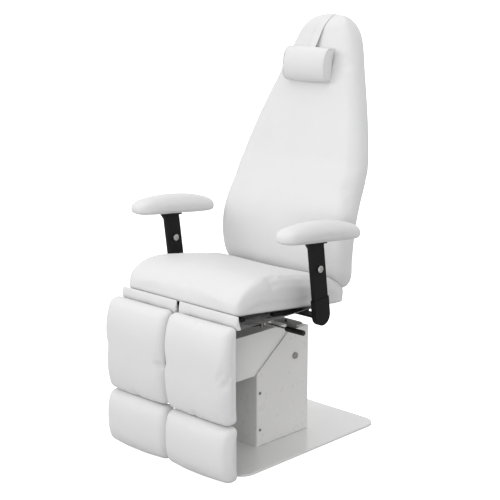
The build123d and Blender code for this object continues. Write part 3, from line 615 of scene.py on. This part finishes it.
def front_flap(word):
    """A thin padded flap with a sharp upper lip. Its fuller lower edge lies on the calf pad's top."""
    low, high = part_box(f"front_flap_{word}")
    lip = Vector((0, low.y - 0.002, high.z - 0.001))
    foot = Vector((0, high.y - 0.017, low.z - 0.001))

    def shape(p):
        q = round_edged(p, np.array((0.14, 0.02, 0.04)), 0.004, 0.02, 0.02, 1)
        share = (q[:, 2] + 1) / 2
        x = (low.x + high.x) / 2 + q[:, 0] * ((high.x - low.x) / 2 - 0.001)
        sag = FLAP_SAG * np.clip(1 - np.abs(x) / FLAP_SAG_REACH, 0, 1) * (1 - share)
        z = foot.z + share * (lip.z - foot.z) - sag
        ripple = FLAP_RIPPLE * np.sin(x * 55.0 + 0.6) * (1 - share)
        swell = FLAP_SWELL * np.sin(math.pi * share) + ripple
        y = foot.y + share * (lip.y - foot.y) + FLAP_SWELL - swell
        return np.stack([x, y + q[:, 1] * (FLAP_HALF_FOOT - FLAP_TAPER * share ** 1.5), z], 1)

    return soft_block(f"front_flap_cover_{word}", 40, shape)


# ---- armrest pads -------------------------------------------------------------------------------
ARM_PAD_TILT = -5.0
ARM_PAD_AT = (0.356, -0.092, 0.790)
ARM_PAD_END_HEIGHT = 0.64  # as a share of the height at the middle


def armrest_pad(side, word):
    """A pad with a flat base and a top that arches from end to end."""
    x, y, z = ARM_PAD_AT
    place = tilted((side * x, y, z), ARM_PAD_TILT)
    low, high = local_box(f"armrest_pad_{word}", place)
    half_x = (high[0] - low[0]) / 2
    half_y = (high[1] - low[1]) / 2
    height = high[2] - low[2]

    def shape(p):
        q = round_edged(p, np.array((half_x, half_y, height / 2)), 0.042, 0.020, 0.036, 2)
        x = q[:, 0] * half_x
        y = (low[1] + high[1]) / 2 + q[:, 1] * (half_y - 0.002)
        bend = 1 - np.abs(q[:, 1]) ** 2.2
        share = (q[:, 2] + 1) / 2
        arch = ARM_PAD_END_HEIGHT + (1 - ARM_PAD_END_HEIGHT) * bend
        z = low[2] + 0.0008 + share * (height - 0.002) * arch
        return np.stack([x, y, z], 1)

    return soft_block(f"armrest_pad_cover_{word}", 36, shape, place)


# ---- pillow and strap ---------------------------------------------------------------------------
PILLOW_DEPTH = 0.060
PILLOW_HEIGHT = 0.128
PILLOW_STATIONS = (0.0, 0.004, 0.012, 0.03, 0.06, 0.10, 0.14, 0.18, 0.22, 0.26, 0.3, 0.34, 0.4)
PIPING_RADIUS = 0.0016
PIPING_INSET = 0.0015
PILLOW_PLACE = BACK_PLACE @ tilted((0.0, -0.006, 0.670), 11.0)


def pillow_ring(swell, count=48):
    """The D section of the pillow, from its back bottom corner round the front to its back top."""
    middle, half = PILLOW_HEIGHT / 2, PILLOW_HEIGHT / 2 - 0.002
    ring = []
    for i in range(count):
        a = math.radians(-90 + 180 * i / (count - 1))
        depth = math.cos(a) ** 0.50
        rise = math.copysign(abs(math.sin(a)) ** 0.85, math.sin(a))
        ring.append((-0.001 - (PILLOW_DEPTH - 0.003) * depth * swell, middle + half * rise * swell))
    for share in (0.66, 0.33):
        ring.append((-0.001, middle + half * (2 * share - 1) * 0.94))
    return ring


def head_pillow():
    """The pillow's cover: rings across its length, a little smaller at the two ends."""
    low, high = local_box("head_pillow", PILLOW_PLACE)
    points, faces = [], []
    length = high[0] - low[0]
    half = [s for s in PILLOW_STATIONS if s < length / 2]
    xs = [low[0] + s for s in half] + [high[0] - s for s in reversed(half)]
    for x in xs:
        inside = min(x - low[0], high[0] - x)
        swell = 0.965 + 0.03 * min(1.0, inside / 0.05)
        points += [(x, y, z) for y, z in pillow_ring(swell)]
    count = len(pillow_ring(1.0))
    for i in range(len(xs) - 1):
        for j in range(count):
            k = (j + 1) % count
            faces.append((i * count + j, (i + 1) * count + j, (i + 1) * count + k, i * count + k))
    faces.append(tuple(range(count)))
    last = (len(xs) - 1) * count
    faces.append(tuple(last + j for j in reversed(range(count))))
    piece = mesh_piece("head_pillow_cover", points, faces)
    piece.matrix_world = PILLOW_PLACE
    return piece


def piping(name, points, material):
    """A thin round cord of piping on the pillow, along a closed line of points."""
    curve = bpy.data.curves.new(name, "CURVE")
    curve.dimensions = "3D"
    curve.bevel_depth = PIPING_RADIUS
    curve.bevel_resolution = 3
    line = curve.splines.new("POLY")
    line.points.add(len(points) - 1)
    for knot, p in zip(line.points, points):
        knot.co = (*p, 1.0)
    line.use_cyclic_u = True
    source = bpy.data.objects.new(name + "_line", curve)
    bpy.context.scene.collection.objects.link(source)
    bpy.context.view_layer.update()
    data = bpy.data.meshes.new_from_object(source)
    bpy.data.objects.remove(source)
    data.name = name
    piece = bpy.data.objects.new(name, data)
    bpy.context.scene.collection.objects.link(piece)
    piece.matrix_world = PILLOW_PLACE
    smooth_shade(piece)
    piece.data.materials.append(material)
    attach(piece, "pillow")


STRAP_TOP = 0.932
STRAP_LEAN = 0.018  # how far the strap drifts sideways over its front run
STRAP_RUN = 0.26
STRAP_THICKNESS = 0.0018
STRAP_CLEAR = 0.0006


def strap_route(bottom):
    """The strap's path up the front, over the top and down behind, as (y, z)."""
    front = [(-0.012, bottom + 0.012 * i) for i in range(20)]
    over = [(-0.004, 0.930), (0.010, 0.938), (0.030, 0.940), (0.050, 0.940), (0.066, 0.936), (0.076, 0.926)]
    behind = [(0.082, 0.912 - 0.014 * i) for i in range(7)]
    return front + over + behind


def pillow_strap(material, cushion):
    """The flat strap over the backrest's top. Its outer edge lifts off the pad just above the pillow."""
    low, high = local_box("pillow_strap", BACK_PLACE)
    width = high[0] - low[0]
    route = strap_route(low[2])
    across = 9
    points, faces = [], []
    for y, z in route:
        lean = STRAP_LEAN * (z - STRAP_TOP) / STRAP_RUN if y < 0 else 0.0
        points += [(low[0] + width * j / (across - 1) + lean, y, z) for j in range(across)]
    for i in range(len(route) - 1):
        for j in range(across - 1):
            a = i * across + j
            faces.append((a, a + 1, a + 1 + across, a + across))
    piece = mesh_piece("pillow_strap_band", points, faces)
    piece.matrix_world = BACK_PLACE
    bpy.context.view_layer.update()
    apply_modifier(piece, "SUBSURF", levels=1)
    apply_modifier(piece, "SHRINKWRAP", target=cushion, wrap_mode="OUTSIDE_SURFACE", offset=STRAP_CLEAR)
    apply_modifier(piece, "SHRINKWRAP", target=cushion, wrap_mode="ON_SURFACE", offset=STRAP_CLEAR)
    co = coords(piece)
    lean = np.where(co[:, 1] < 0.02, STRAP_LEAN * (co[:, 2] - STRAP_TOP) / STRAP_RUN, 0.0)
    share = np.clip((co[:, 0] - lean - low[0]) / width, 0, 1)
    lift = np.where(co[:, 1] < 0.02, np.clip((0.905 - co[:, 2]) / 0.10, 0, 1.6) ** 1.5, 0.0)
    co[:, 1] -= lift * (0.003 + 0.009 * share ** 2)
    set_coords(piece, co)
    apply_modifier(piece, "SMOOTH", factor=0.5, iterations=3)
    apply_modifier(piece, "SOLIDIFY", thickness=STRAP_THICKNESS, offset=1.0)
    smooth_shade(piece)
    piece.data.materials.append(material)
    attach(piece, "backrest")
    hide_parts("pillow_strap")


# ---- put together -------------------------------------------------------------------------------
def paint_cad(paints):
    """Gives every CAD node the paint of its material slot."""
    slots = {part["node"]: part["material_slot"] for part in frame["record"]["subparts"]}
    for name in nodes:
        if slots[name] in paints:
            repaint(name, paints[slots[name]])


def repaint(node, material):
    nodes[node].data.materials.clear()
    nodes[node].data.materials.append(material)


def make_soft_goods(leather):
    """Makes and dresses every pad, and returns the backrest's."""
    seat = seat_cushion()
    back = backrest_cushion()
    pillow = head_pillow()
    jobs = [(seat, 0.006, LARGE_VOXEL), (back, 0.005, LARGE_VOXEL), (pillow, 0.003, SMALL_VOXEL)]
    legs, pads, flaps = {}, {}, {}
    for side, word in ((1, "left"), (-1, "right")):
        for node, *shape in ((f"calf_cushion_{word}", *CALF_PAD), (f"foot_cushion_{word}", *FOOT_PAD)):
            legs[node] = leg_pad(node, side, *shape)
        pads[word] = armrest_pad(side, word)
        flaps[word] = front_flap(word)
    jobs += [(piece, 0.005, LEG_VOXEL) for piece in legs.values()]
    jobs += [(piece, 0.003, SMALL_VOXEL) for piece in pads.values()]
    settle(jobs)
    seat_low, _ = local_box("seat_cushion", SEAT_PLACE)
    keep_side(seat, 2, seat_low[2], False)
    pillow_low, pillow_high = local_box("head_pillow", PILLOW_PLACE)
    keep_side(pillow, 1, 0.001, True)
    dress(seat, "seat", "seat_cushion", leather)
    dress(back, "backrest", "backrest_cushion", leather)
    dress(pillow, "pillow", "head_pillow", leather)
    for node, piece in legs.items():
        keep_side(piece, 1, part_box(node)[1].y, True)
        body = node.replace("calf_cushion", "leg").replace("foot_cushion", "foot")
        dress(piece, body, node, leather)
    for word, piece in pads.items():
        keep_side(piece, 2, 0.0006, False)
        dress(piece, f"armpost_{word}", f"armrest_pad_{word}", leather)
    for word, piece in flaps.items():
        dress(piece, f"leg_{word}", f"front_flap_{word}", leather)
    for side, x in (("left", pillow_high[0] - PIPING_INSET), ("right", pillow_low[0] + PIPING_INSET)):
        ring = [(x, y, z) for y, z in pillow_ring(0.975)]
        piping(f"pillow_piping_{side}", ring, leather)
    return back


leather = white_upholstery()
make_camera()
make_studio()
paint_cad({
    "casing_grey": casing_paint(),
    "plate_white": plate_paint(),
    "arm_white": arm_paint(),
    "black_steel": black_powder(),
    "grey_steel": grey_steel(),
    "plated_steel": plated_steel(),
    "brushed": plated_steel("bright_zinc_bracket", (0.72, 0.71, 0.69), 0.32),
    "bronze": bronze(),
    "grip_black": ribbed_grip(),
    "motor_black": moulded_black(),
    "plywood": dust_cover(),
    "strap_elastic": leather,
})
repaint("backrest_board", leather)
repaint("fasteners", plated_steel("dull_zinc_screws", (0.28, 0.275, 0.265), 0.42))
repaint("lift_shaft", plated_steel("dull_zinc_shaft", (0.42, 0.41, 0.40), 0.36))
pillow_strap(leather, make_soft_goods(leather))
